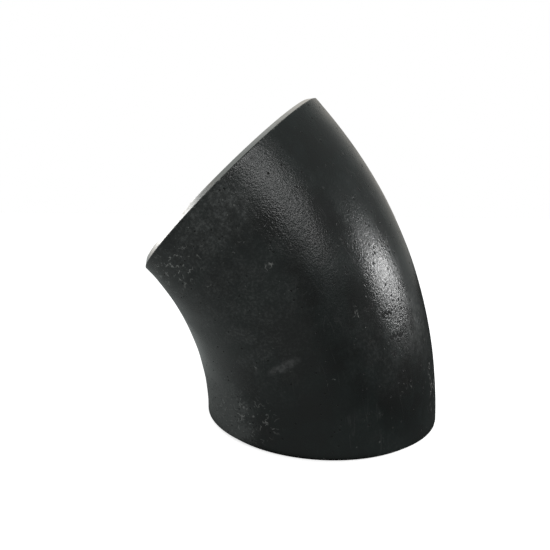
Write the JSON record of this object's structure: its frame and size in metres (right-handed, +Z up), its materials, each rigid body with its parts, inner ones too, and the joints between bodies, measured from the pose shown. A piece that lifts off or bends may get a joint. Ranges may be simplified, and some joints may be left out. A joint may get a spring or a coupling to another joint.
{
  "type": "45 degree butt-weld pipe elbow",
  "caption": "Long-radius 45 degree pipe elbow with both ends bevelled for butt welding, painted black outside, with bare machined weld ends.",
  "frame": {"origin": "centre of the lower weld end, on the plane of its root face, where the fitting stands", "axes": "+Z runs up into the bore at the lower end, and the bend leans towards -X in the XZ plane, so that the upper end faces 45 degrees up towards -X; +Y is across the bend"},
  "size_m": [0.406, 0.3238, 0.4335],
  "materials": {
    "black_paint": "satin black rust-preventing paint over lightly scaled carbon steel, with bare machined weld ends"
  },
  "bodies": {
    "root": {"elbow_body": "black_paint"}
  },
  "joints": []
}
